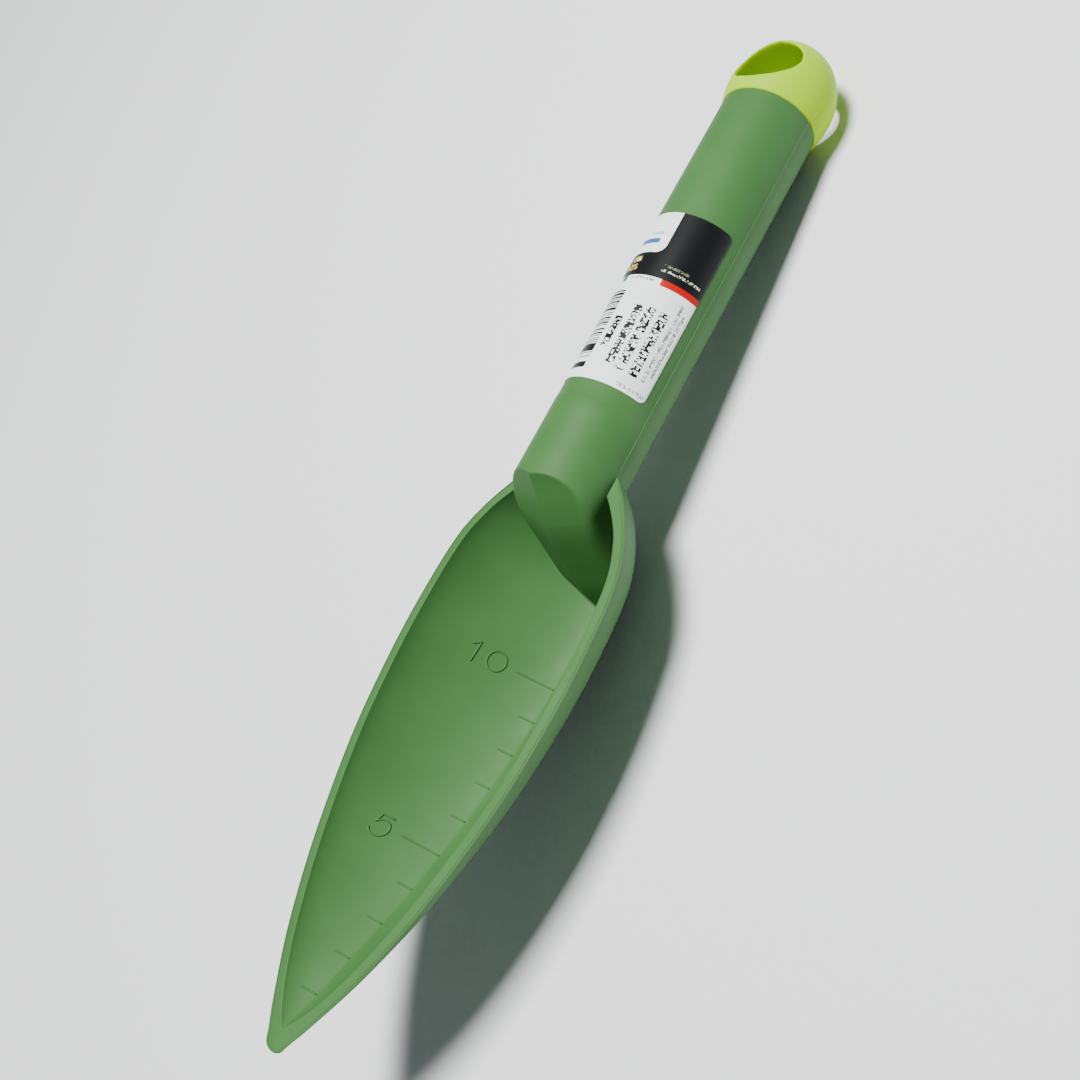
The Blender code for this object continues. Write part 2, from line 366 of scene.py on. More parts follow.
# ---------------------------------------------------------------- outlines of the blade

def half_width(y):
    """Half width at the rim, with a round tip."""
    width = float(np.interp(y, BLADE_Y, BLADE_W))
    if y < TIP_ROUND:
        width *= sqrt(max(1 - (1 - y / TIP_ROUND) ** 2, 0.0))
    return width


def outer_depth(y):
    """Depth of the outside below the rim, with a round tip."""
    depth = float(np.interp(y, BLADE_Y, BLADE_D))
    if y < TIP_ROUND:
        depth *= sqrt(max(1 - (1 - y / TIP_ROUND) ** 2, 0.0))
    return depth


def solve(function, low, high, steps=50):
    """Root of a function that falls from low to high."""
    for _ in range(steps):
        middle = (low + high) / 2
        if function(middle) > 0:
            low = middle
        else:
            high = middle
    return (low + high) / 2


JOIN_Y = solve(lambda y: half_width(y) - NECK_RADIUS, JOIN_LOW, JOIN_HIGH)


def edge_slant(y):
    """Cosine of the angle between the rim's edge and the Y axis."""
    step = 0.0006
    y = max(y, TIP_ROUND + step)
    return cos(atan((half_width(y + step) - half_width(y - step)) / (2 * step)))


def axis_height(y):
    """Height of the handle's axis, which tips slightly down towards the cap."""
    return tan(TILT) * (y - PIVOT_Y)


def edge_height(y):
    """Height of the rim's outer edge: level, then down to the handle's axis at the join."""
    return axis_height(JOIN_Y) * clip((y - JOIN_LOW) / (JOIN_Y - JOIN_LOW))


def handle_radius(y):
    """The neck is a little thicker than the grip, with a fine step between them."""
    return lerp(NECK_RADIUS, GRIP_RADIUS, clip((y - NECK_END) / NECK_STEP + 0.5))


def hollow_fade(y):
    """Share of its full size that the hollow has reached behind the tip."""
    if y <= HOLLOW_START:
        return 0.0
    return 1 - exp(-(y - HOLLOW_START) / HOLLOW_BLEND)


def widening(y):
    """Extra reach of the land where it runs in beside the handle."""
    excess = half_width(NOTCH_Y) - LAND / edge_slant(NOTCH_Y) - NECK_RADIUS
    return excess * clip((y - HEEL_Y) / (NOTCH_Y - HEEL_Y)) ** 2


def hollow_width(y):
    """Half width of the hollow at the land's inner edge, or of the handle that closes it."""
    if y >= NOTCH_Y:
        return min(handle_radius(y), half_width(y))
    wide = half_width(y) - LAND / edge_slant(y) - widening(y)
    return max(wide * hollow_fade(y), HOLLOW_LEAST if y > TIP_ROUND else 0.05 * half_width(y))


def land_height(y):
    """Height of the land's inner edge."""
    reach = half_width(y) - hollow_width(y)
    rise = LAND_SLOPE * min(LAND, reach * edge_slant(y))
    blend = clip((y - HEEL_Y) / (NOTCH_Y - HEEL_Y)) ** 2
    return lerp(edge_height(y) + rise, axis_height(y), blend)


def hollow_depth(y):
    """Fall from the land's inner edge to the floor."""
    return hollow_fade(y) * (outer_depth(y) - WALL + land_height(y))


def edge_round(y):
    """Size of the hollow's rounded edge, which fades at the tip and the notch."""
    depth_share = min(1.0, hollow_depth(y) / EDGE_ROUND_DEPTH)
    return EDGE_ROUND * depth_share * clip((NOTCH_Y - y) / EDGE_ROUND_END)


def rounded_angle(y):
    """Angle round the hollow's section where its rounded edge ends."""
    depth = hollow_depth(y)
    return asin((edge_round(y) / depth) ** (POWER / 2)) if depth > 1e-6 else 0.0


def hollow_point(y, angle):
    """Point of the hollow's section; angle 0 is its right edge, a quarter turn the keel."""
    power = 2 / POWER
    side = 1 if angle < pi / 2 else -1
    across = side * hollow_width(y) * abs(cos(angle)) ** power
    height = land_height(y) - hollow_depth(y) * max(sin(angle), 0.0) ** power
    return np.array((across, y, height))


def floor_height(x, y):
    """Height of the blade's floor under a point inside the hollow."""
    share = clip(abs(x) / hollow_width(y))
    return land_height(y) - hollow_depth(y) * (1 - share ** POWER) ** (1 / POWER)


def floor_angle(x, y):
    """Angle round the hollow's section at a point of the floor."""
    share = clip(abs(x) / hollow_width(y))
    angle = acos(share ** (POWER / 2))
    return angle if x >= 0 else pi - angle


def bead_reach(y):
    """How far the bead stands out; it fades at the tip and where the rim meets the handle."""
    return BEAD * clip((JOIN_Y - y) / BEAD_FADE) * min(1.0, half_width(y) / BEAD_FADE)


def rim_profile(y):
    """Right half of the rim from its outer edge, over bead and land, into the hollow."""
    wide = half_width(y)
    inner = hollow_width(y)
    reach = wide - inner
    scale = reach / LAND
    low = edge_height(y)
    rise = land_height(y) - low
    relief = min(1.0, reach / LAND)
    points = [(wide + bead_reach(y), y, low)]
    for distance, height in BEAD_PROFILE:
        across = wide - distance * scale
        points.append((across, y, low + rise * distance / LAND + height * relief))
    size = edge_round(y)
    corner = (inner, y, low + rise)
    start = (inner + size, y, low + rise * (1 - size / max(reach, 1e-9)))
    end = hollow_point(y, rounded_angle(y)) if y < NOTCH_Y else corner
    return points + bezier(start, corner, end, 4)


def mirrored(points):
    """The same points on the other side of the centre plane."""
    return [(-x, y, z) for x, y, z in points]


# ---------------------------------------------------------------- rows along the blade

# Rows over the tip, and where the hollow opens, each further from the last.
PAD_ROWS = 7
MOUTH_ROWS = 8
MOUTH_STEP = 0.00015
MOUTH_GROWTH = 1.32
MOUTH_END = 0.0095
ROW_STEP = 0.0015
# Rows that bend round the nose, and beside the handle as far as the notch and the join.
BEND_ROWS = 7
NOTCH_ROWS = 7
JOIN_ROWS = 4
SETTLE_SHARES = (0.08, 0.3, 0.6, 1.0)
# Rows along the handle: one ahead of the neck's step, some close to it, and the grip's.
NECK_ROW = 0.1645
STEP_ROWS = (-0.0001, -0.00003, 0.00003, 0.0001)
GRIP_ROWS = 20
GRIP_START = 0.1750
GRIP_LAST = 0.0010


def front_rows():
    """Stations from the tip to where the rows start to bend round the nose."""
    tip = [TIP_ROUND * (1 - cos(radians(a))) for a in range(0, 91, 10)]
    pad = list(np.linspace(TIP_ROUND, HOLLOW_START, PAD_ROWS + 1)[1:])
    reaches = [MOUTH_STEP * MOUTH_GROWTH ** k * (k + 1) for k in range(MOUTH_ROWS)]
    mouth = [HOLLOW_START + reach for reach in reaches if HOLLOW_START + reach < MOUTH_END]
    count = ceil((FRONT_Y - mouth[-1]) / ROW_STEP)
    return tip + pad + mouth + list(np.linspace(mouth[-1], FRONT_Y, count + 1)[1:])


ROWS_FRONT = front_rows()
ROWS_BEND = list(np.linspace(FRONT_Y, HEEL_Y, BEND_ROWS + 1)[1:])
NOTCH_SHARE = (NOTCH_Y - HEEL_Y) / (JOIN_Y - HEEL_Y)
HEEL_SHARES = [NOTCH_SHARE * k / NOTCH_ROWS for k in range(1, NOTCH_ROWS + 1)]
HEEL_SHARES += [lerp(NOTCH_SHARE, 1.0, k / JOIN_ROWS) for k in range(1, JOIN_ROWS + 1)]
SIDE_STEPS = BEND_ROWS + NOTCH_ROWS
ROWS_HANDLE = [NECK_ROW] + [NECK_END + offset for offset in STEP_ROWS]
ROWS_HANDLE += list(np.linspace(GRIP_START, HANDLE_END - GRIP_LAST, GRIP_ROWS)) + [HANDLE_END]
# A quarter turn of the handle from its parting line, with close steps over the flash.
HALF_ANGLES = [0.0, FLASH_TURN, 2 * FLASH_TURN, 5 * FLASH_TURN]
HALF_ANGLES += [radians(a) for a in np.arange(5, 88.5, 3.4)] + [pi / 2]


def handle_point(y, angle):
    """Point of the handle; angle 0 is its right side and a quarter turn its top."""
    radius = handle_radius(y)
    if abs(sin(angle)) < FLASH_EDGE:
        radius += FLASH * clip((y - JOIN_Y) / FLASH_FADE)
    up = radius * sin(angle)
    square = ease((y - JOIN_SETTLED) / SQUARE_LENGTH)
    return (radius * cos(angle), y - up * tan(TILT) * square, axis_height(y) + up)


# ---------------------------------------------------------------- outside of the blade

def bowl_radius(y, angle):
    """Distance from the centre line to the blade's outside in a direction below the rim."""
    wide = half_width(y)
    deep = outer_depth(y)
    if wide < 1e-9:
        return 0.0
    shape = (abs(cos(angle)) / wide) ** POWER + (abs(sin(angle)) / deep) ** POWER
    return shape ** (-1 / POWER)


def bowl_point(y, turn):
    """Point of the blade's outside; turn 0 is the right edge and a half turn the left."""
    wide = half_width(y)
    deep = outer_depth(y)
    stretched = atan2(deep * sin(turn), wide * cos(turn)) if wide > 1e-9 else turn
    angle = lerp(stretched, turn, ease((y - BLEND_Y) / (HEEL_Y - BLEND_Y)))
    radius = bowl_radius(y, angle)
    if sin(turn) < 1e-6:
        radius += bead_reach(y)
    return (radius * cos(angle), y, edge_height(y) - radius * sin(angle))


def heel_station(turn):
    """Where the outside of the blade reaches the handle."""
    return solve(lambda y: bowl_radius(y, turn) - NECK_RADIUS, JOIN_LOW, HEEL_HIGH)


def outside(skin):
    """Underside of the moulding, from the tip over the heel to the handle's end."""
    turns = HALF_ANGLES + [pi - a for a in reversed(HALF_ANGLES[:-1])]
    heels = [heel_station(turn) for turn in turns]
    heels[0] = heels[-1] = JOIN_Y
    grid = [[bowl_point(y, turn) for turn in turns] for y in ROWS_FRONT + ROWS_BEND]
    for share in HEEL_SHARES[:-1]:
        row = []
        for heel, turn in zip(heels, turns):
            row.append(bowl_point(lerp(HEEL_Y, heel, share), turn))
        grid.append(row)
    grid.append([handle_point(heel, -turn) for heel, turn in zip(heels, turns)])
    for share in SETTLE_SHARES:
        row = []
        for heel, turn in zip(heels, turns):
            row.append(handle_point(lerp(heel, JOIN_SETTLED, share), -turn))
        grid.append(row)
    for y in ROWS_HANDLE:
        grid.append([handle_point(y, -turn) for turn in turns])
    skin.sheet(grid)


# ---------------------------------------------------------------- rim and open hollow

def rims(skin):
    """Bead and land on both sides, as far as the handle."""
    rows = ROWS_FRONT + ROWS_BEND + [lerp(HEEL_Y, JOIN_Y, s) for s in HEEL_SHARES]
    profiles = [rim_profile(y) for y in rows]
    skin.sheet(profiles)
    skin.sheet([mirrored(profile[:-1]) + [left_end(y)] for y, profile in zip(rows, profiles)])


def left_end(y):
    """Last point of the left rim: it follows the even section."""
    if y >= NOTCH_Y:
        return (-hollow_width(y), y, land_height(y))
    return tuple(hollow_point(y, pi - rounded_angle(y)))


# Columns: over the nose's rounded edge, across its face, and up one wall of the hollow.
RING_STEPS = 5
FACE_STEPS = 38
HALF_STEPS = SIDE_STEPS + RING_STEPS + FACE_STEPS // 2
WALL_STEPS = RING_STEPS + FACE_STEPS // 2


def hollow_angles(y):
    """Angles of a row across the hollow, from right to left."""
    first = rounded_angle(y)
    right = [lerp(first, pi / 2, k / WALL_STEPS) for k in range(WALL_STEPS + 1)]
    return right + [pi - angle for angle in reversed(right[:-1])]


def open_hollow(skin):
    """Inside of the blade from the tip to where the rows bend round the nose."""
    skin.sheet([[hollow_point(y, a) for a in hollow_angles(y)] for y in ROWS_FRONT])


# ---------------------------------------------------------------- nose

# Fillet at the foot of the nose, and the rows down its wall and out over the floor.
FILLET_PROBE = 0.05
FILLET_OF_WALL = 0.45
FILLET_OF_FLOOR = 0.3
FILLET_STEPS = 6
NOSE_ROWS = 9
FLOOR_ROWS = 14
FLOOR_CROWDING = 1.25
DEEPEST_DROP = 0.0400


def nose_crease(z):
    """Station of the nose's centre crease at a height."""
    return float(np.interp(z, CREASE_Z, CREASE_Y))


def nose_face(x, z):
    """Station of the nose's face: two facets that sweep back from the crease."""
    return nose_crease(z) + NOSE_SWEEP * abs(x)


def nose_point(i, angle, drop):
    """Point of column i of the nose's outline at an angle round the handle, or below it."""
    if i > HALF_STEPS:
        x, y, z = nose_point(2 * HALF_STEPS - i, angle, drop)
        return np.array((-x, y, z))
    across = NECK_RADIUS * cos(angle)
    level = axis_height(HEEL_Y) + NECK_RADIUS * sin(angle) - drop
    edge = nose_face(across, level)
    size = lerp(NOSE_EDGE, NOSE_EDGE_LOW, ease((NECK_RADIUS - level) / (2 * NECK_RADIUS)))
    if i <= SIDE_STEPS:
        y = lerp(NOTCH_Y, edge + size, i / SIDE_STEPS)
        height = axis_height(y) + NECK_RADIUS * sin(angle) - drop
        return np.array((across, y, height))
    inner_across = (NECK_RADIUS - size) * cos(angle)
    inner_level = level - size * sin(angle)
    if i <= SIDE_STEPS + RING_STEPS:
        side_y = edge + size
        start = (across, side_y, axis_height(side_y) + NECK_RADIUS * sin(angle) - drop)
        corner = (across, edge, level)
        end = (inner_across, nose_face(inner_across, inner_level), inner_level)
        return bezier(start, corner, end, RING_STEPS)[i - SIDE_STEPS]
    share = 1 - (i - SIDE_STEPS - RING_STEPS) / (FACE_STEPS / 2)
    x = inner_across * share
    return np.array((x, nose_face(x, inner_level), inner_level))


def floor_drop(i):
    """Fall of column i of the nose from the handle's widest line to the floor."""
    def above(drop):
        x, y, z = nose_point(i, 0.0, drop)
        return z - floor_height(x, y)
    if i in (0, 2 * HALF_STEPS):
        return 0.0
    return solve(above, 0.0, DEEPEST_DROP)


def nose_and_pocket(skin):
    """Nose down to the floor, its fillet, and the floor from there to the rim."""
    drops = [floor_drop(i) for i in range(2 * HALF_STEPS + 1)]
    outer = [(rounded_angle(y), y) for y in reversed(rear_rows())]
    outer += [(angle, FRONT_Y) for angle in hollow_angles(FRONT_Y)]
    outer += [(pi - rounded_angle(y), y) for y in rear_rows()]
    walls = []
    floors = []
    for i, drop in enumerate(drops):
        foot = nose_point(i, 0.0, drop)
        inner = (floor_angle(foot[0], foot[1]), foot[1])
        near = band_point(inner, outer[i], FILLET_PROBE)
        stretch = float(np.linalg.norm(near - foot)) / FILLET_PROBE
        size = min(NOSE_FILLET, FILLET_OF_WALL * drop, FILLET_OF_FLOOR * stretch)
        begin = size / stretch if stretch > 1e-6 else 0.0
        top = nose_point(i, 0.0, drop - size)
        arc = bezier(top, foot, band_point(inner, outer[i], begin), FILLET_STEPS)
        wall = [nose_point(i, 0.0, (drop - size) * k / NOSE_ROWS) for k in range(NOSE_ROWS)]
        walls.append(wall + arc)
        spread = [(k / FLOOR_ROWS) ** FLOOR_CROWDING for k in range(FLOOR_ROWS + 1)]
        shares = [lerp(begin, 1.0, s) for s in spread]
        floors.append([band_point(inner, outer[i], s) for s in shares])
    skin.sheet(walls)
    skin.sheet(floors)


def rear_rows():
    """Stations beside the nose, from ahead of it to the notch."""
    return ROWS_BEND + [lerp(HEEL_Y, JOIN_Y, s) for s in HEEL_SHARES[:NOTCH_ROWS]]


def band_point(inner, outer, share):
    """Point of the floor between the foot of the nose and the rim."""
    angle = lerp(inner[0], outer[0], share)
    return hollow_point(lerp(inner[1], outer[1], share), angle)


# ---------------------------------------------------------------- upper half of the handle

def handle_top(skin):
    """Upper half of the handle and nose, from its end forward to the nose's crease."""
    back = list(reversed(ROWS_HANDLE))
    back += [lerp(JOIN_Y, JOIN_SETTLED, s) for s in reversed(SETTLE_SHARES)] + [JOIN_Y]
    back += [lerp(HEEL_Y, JOIN_Y, s) for s in reversed(HEEL_SHARES[NOTCH_ROWS:-1])]
    right = []
    for angle in HALF_ANGLES:
        row = [handle_point(y, angle) for y in back]
        row += [tuple(nose_point(i, angle, 0.0)) for i in range(HALF_STEPS + 1)]
        right.append(row)
    skin.sheet(right)
    skin.sheet([mirrored(row) for row in right])


def handle_end(skin):
    """End face of the handle and its bore."""
    ring = HALF_ANGLES + [pi - a for a in reversed(HALF_ANGLES[:-1])]
    bore = (
        (BORE_RADIUS, HANDLE_END),
        (BORE_RADIUS, BORE_START + BORE_SHOULDER),
        (BORE_RADIUS / 2, BORE_START),
        (0.0, BORE_START),
    )
    for direction in (1, -1):
        grid = []
        for angle in ring:
            turn = direction * angle
            column = [handle_point(HANDLE_END, turn)]
            for radius, y in bore:
                up = radius * sin(turn)
                column.append((radius * cos(turn), y - up * tan(TILT), axis_height(y) + up))
            grid.append(column)
        skin.sheet(grid)


def moulding(material):
    """Blade, nose and handle in one closed skin."""
    skin = Skin()
    outside(skin)
    rims(skin)
    open_hollow(skin)
    nose_and_pocket(skin)
    handle_top(skin)
    handle_end(skin)
    return skin.piece("trowel_moulding", material)


# ---------------------------------------------------------------- depth scale

def on_floor(x, y):
    return Vector((x, y, floor_height(x, y)))


def floor_normal(x, y):
    """Direction square to the blade's floor."""
    step = 0.0002
    along_x = on_floor(x + step, y) - on_floor(x - step, y)
    along_y = on_floor(x, y + step) - on_floor(x, y - step)
    return along_x.cross(along_y).normalized()


def sweep(skin, points, ups, reach, height, closed=False):
    """Oval bar along points, each with a direction that faces up off the surface."""
    last = len(points) - 1
    turns = [2 * pi * k / SWEEP_SIDES for k in range(SWEEP_SIDES + 1)]
    rings = []
    ways = []
    for i, (point, up) in enumerate(zip(points, ups)):
        before = points[i - 1] if i or closed else point
        after = points[(i + 1) % len(points)] if i < last or closed else point
        along = (after - before).normalized()
        side = along.cross(up).normalized()
        rings.append([point + side * reach * cos(a) + up * height * sin(a) for a in turns])
        ways.append(along)
    if closed:
        skin.sheet(rings + rings[:1])
        return
    start = [points[0] - ways[0] * reach] * len(turns)
    end = [points[-1] + ways[-1] * reach] * len(turns)
    skin.sheet([start] + rings + [end])


def stroke(skin, outline, closed=False):
    """Raised bar that follows an outline of (x, y) points on the blade's floor."""
    points = [on_floor(x, y) for x, y in outline]
    ups = [floor_normal(x, y) for x, y in outline]
    sweep(skin, points, ups, STROKE_HALF_WIDTH, STROKE_HEIGHT, closed)


def straight(start, end):
    """Closely spaced points of a straight line."""
    count = max(2, ceil(hypot(end[0] - start[0], end[1] - start[1]) / STROKE_STEP))
    shares = [k / count for k in range(count + 1)]
    return [(lerp(start[0], end[0], s), lerp(start[1], end[1], s)) for s in shares]


def oval(centre, across, up, steps=28):
    """Closed outline of (x, y) points; the last one is left out."""
    turns = [2 * pi * k / steps for k in range(steps)]
    return [(centre[0] + across * cos(a), centre[1] + up * sin(a)) for a in turns]


def polyline(corners):
    """Closely spaced points of straight lines from corner to corner."""
    points = [corners[0]]
    for start, end in zip(corners, corners[1:]):
        points += straight(start, end)[1:]
    return points


def curved(table, steps=36):
    """Points of a smooth curve through the rows of a table."""
    columns = list(zip(*table))
    ranks = np.linspace(0, len(table) - 1, steps + 1)
    return [tuple(catmull(column, rank) for column in columns) for rank in ranks]


def depth_scale(material):
    """Marks every centimetre, with the numerals 5 and 10."""
    skin = Skin()
    for mark in range(1, TICKS + 1):
        y = TICK_START + mark * TICK_STEP
        reach = TICK_REACH if mark % 5 else LONG_TICK_REACH
        stroke(skin, straight((-reach, y), (-STROKE_HALF_WIDTH, y)))
    stroke(skin, polyline(ONE))
    stroke(skin, oval(ZERO_CENTRE, ZERO_HALF_WIDTH, ZERO_HALF_HEIGHT), closed=True)
    stroke(skin, polyline(FIVE_TOP))
    stroke(skin, curved(FIVE_BOWL))
    return skin.piece("depth_scale", material, sharp=60.0)


# ---------------------------------------------------------------- end cap

def handle_turn():
    """Tips what is made along Y so that it follows the handle."""
    pivot = Matrix.Translation((0.0, PIVOT_Y, 0.0))
    return pivot @ Matrix.Rotation(TILT, 4, "X") @ pivot.inverted()


def turned_mesh(name, profile):
    """Closed solid turned about the Y axis from (radius, y) points that start and end on it."""
    skin = Skin()
    grid = []
    for k in range(CAP_SEGMENTS + 1):
        turn = 2 * pi * (k % CAP_SEGMENTS) / CAP_SEGMENTS
        grid.append([(r * cos(turn), y, r * sin(turn)) for r, y in profile])
    skin.sheet(grid)
    mesh = bpy.data.meshes.new(name)
    mesh.from_pydata(skin.points, [], skin.faces)
    bm = bmesh.new()
    bm.from_mesh(mesh)
    bmesh.ops.remove_doubles(bm, verts=bm.verts, dist=2e-6)
    bmesh.ops.recalc_face_normals(bm, faces=bm.faces)
    bm.to_mesh(mesh)
    bm.free()
    return mesh


def cap_profile():
    """Outline of the cap as (radius, y) points: dome, flare, face and hollow spigot."""
    edge = HANDLE_END + CAP_GAP
    points = []
    for k in range(DOME_STEPS + 1):
        turn = pi / 2 * (1 - k / DOME_STEPS)
        radius = CAP_RADIUS * cos(turn) if k else 0.0
        points.append((radius, CAP_BELT_Y + CAP_DOME_HEIGHT * sin(turn)))
    flare = 1 - (CAP_EDGE_RADIUS / CAP_RADIUS) ** 2
    for k in range(1, FLARE_STEPS + 1):
        fall = k / FLARE_STEPS
        radius = CAP_RADIUS * sqrt(1 - flare * fall * fall)
        points.append((radius, lerp(CAP_BELT_Y, edge, fall)))
    spigot = BORE_RADIUS - SPIGOT_GAP
    foot = HANDLE_END - SPIGOT_LENGTH
    points += [(spigot, edge), (spigot, foot), (spigot - SPIGOT_WALL, foot),
               (spigot - SPIGOT_WALL, edge), (0.0, edge)]
    return points


def applied(piece):
    """Mesh of a piece with its modifiers."""
    bpy.context.view_layer.update()
    evaluated = piece.evaluated_get(bpy.context.evaluated_depsgraph_get())
    return bpy.data.meshes.new_from_object(evaluated)


def hole_cutter(outline):
    """Upright solid on the outline of the hanging hole, longer than the cap is thick."""
    bm = bmesh.new()
    low = [bm.verts.new((x, y, -2 * CAP_RADIUS)) for x, y in outline]
    high = [bm.verts.new((x, y, 2 * CAP_RADIUS)) for x, y in outline]
    bm.faces.new(low)
    bm.faces.new(high)
    for i in range(len(outline)):
        j = (i + 1) % len(outline)
        bm.faces.new((low[i], low[j], high[j], high[i]))
    bmesh.ops.recalc_face_normals(bm, faces=bm.faces)
    mesh = bpy.data.meshes.new("cap_cutter")
    bm.to_mesh(mesh)
    bm.free()
    return bpy.data.objects.new("cap_cutter", mesh)


def end_cap(material):
    """Domed plug with an oval hanging hole, its edges softened as moulded plastic is."""
    cap = bpy.data.objects.new("cap_blank", turned_mesh("cap_blank", cap_profile()))
    centre = (0.0, CAP_HOLE_Y)
    outline = oval(centre, CAP_HOLE_HALF_WIDTH, CAP_HOLE_HALF_HEIGHT, CAP_HOLE_SEGMENTS)
    cutter = hole_cutter(outline)
    for piece in (cap, cutter):
        bpy.context.scene.collection.objects.link(piece)
    cut = cap.modifiers.new("Hole", "BOOLEAN")
    cut.operation = "DIFFERENCE"
    cut.solver = "EXACT"
    cut.object = cutter
    remesh = cap.modifiers.new("Remesh", "REMESH")
    remesh.mode = "VOXEL"
    remesh.voxel_size = CAP_VOXEL
    soften = cap.modifiers.new("Soften", "SMOOTH")
    soften.factor = 0.5
    soften.iterations = CAP_SMOOTHING
    cap.data = applied(cap)
    cap.modifiers.clear()
    edge_points = np.array(outline)
    lip = cap.vertex_groups.new(name="Lip")
    for vertex in cap.data.vertices:
        gap = np.min(np.hypot(*(edge_points - (vertex.co.x, vertex.co.y)).T))
        if gap < CAP_LIP:
            lip.add([vertex.index], 1 - gap / CAP_LIP, "REPLACE")
    roll = cap.modifiers.new("Lip", "SMOOTH")
    roll.vertex_group = "Lip"
    roll.iterations = CAP_LIP_SMOOTHING
    mesh = applied(cap)
    mesh.name = "end_cap_dome"
    for piece in (cap, cutter):
        bpy.data.objects.remove(piece, do_unlink=True)
    mesh.transform(handle_turn())
    return finish_piece("end_cap_dome", mesh, material, sharp=180.0)


def cap_line(material):
    """Faint parting line of the cap, level with the one along the handle."""
    start = HANDLE_END + CAP_GAP
    dome = [(r, y) for r, y in reversed(cap_profile()) if y > start and r > CAP_LINE]
    half = [Vector((r, y, 0.0)) for r, y in dome]
    outline = half + [Vector((-point.x, point.y, 0.0)) for point in reversed(half)]
    middle = Vector((0.0, half[0].y, 0.0))
    turn = handle_turn()
    points = [turn @ point for point in outline]
    ups = [(turn @ point - turn @ middle).normalized() for point in outline]
    skin = Skin()
    sweep(skin, points, ups, CAP_LINE, CAP_LINE)
    return skin.piece("cap_parting_line", material, sharp=60.0)


# ---------------------------------------------------------------- label

def label(material):
    """Printed film round the grip, with its size in metres as its UV map."""
    radius = GRIP_RADIUS + LABEL_LIFT
    rows = []
    corners = [radians(a) for a in range(0, 91, 15)]
    length = LABEL_END - LABEL_START
    ends = [(LABEL_CORNER * (1 - cos(a)), LABEL_CORNER * (1 - sin(a))) for a in corners]
    middle = [k / LABEL_ROWS for k in range(1, LABEL_ROWS)]
    spans = ends + [(lerp(LABEL_CORNER, length - LABEL_CORNER, s), 0.0) for s in middle]
    spans += [(length - y, inset) for y, inset in reversed(ends)]
    bm = bmesh.new()
    uv = bm.loops.layers.uv.new("print")
    place = {}
    for y, inset in spans:
        row = []
        for k in range(LABEL_COLUMNS + 1):
            first = LABEL_FIRST_ANGLE + inset / radius
            last = LABEL_FIRST_ANGLE + LABEL_WRAP - inset / radius
            angle = lerp(first, last, k / LABEL_COLUMNS)
            # The film rides over the parting line on the left of the grip.
            rise = radius + FLASH * clip(LABEL_BULGE_TOP - abs(angle - pi) / LABEL_BULGE)
            vertex = bm.verts.new((rise * cos(angle), LABEL_START + y, rise * sin(angle)))
            place[vertex] = ((angle - LABEL_FIRST_ANGLE) * GRIP_RADIUS, y)
            row.append(vertex)
        rows.append(row)
    for row, following in zip(rows, rows[1:]):
        for k in range(LABEL_COLUMNS):
            face = bm.faces.new((row[k], following[k], following[k + 1], row[k + 1]))
            for loop in face.loops:
                loop[uv].uv = place[loop.vert]
    mesh = bpy.data.meshes.new("label_film")
    bm.to_mesh(mesh)
    bm.free()
    mesh.transform(handle_turn())
    piece = finish_piece("label_film", mesh, material)
    thick = piece.modifiers.new("Thickness", "SOLIDIFY")
    thick.thickness = LABEL_THICKNESS
    thick.offset = 1.0
    return piece


# ---------------------------------------------------------------- materials

NOISE_ROUGHNESS = 0.55
# Plastic: sizes of the flow marks, gloss clouds and grain as noise scales, and the range
# of roughness and height of the grain.
FLOW_SCALE = 45.0
CLOUD_SCALE = 160.0
GRAIN_SCALE = 3200.0
CLOUD_RANGE = 0.06
GRAIN_HEIGHT = 0.00004
# Print: cells in millimetres along and round the grip, and the share left unprinted.
LETTER_CELL = (0.40, 0.55)
SMALL_CELL = (0.30, 0.30)
BAR_CELL = (0.29, 1000.0)
EMPTY_CELLS = 0.45
MILLIMETRES = 1000.0
CREASE_SCALE = 190.0
CREASE_HEIGHT = 0.0002


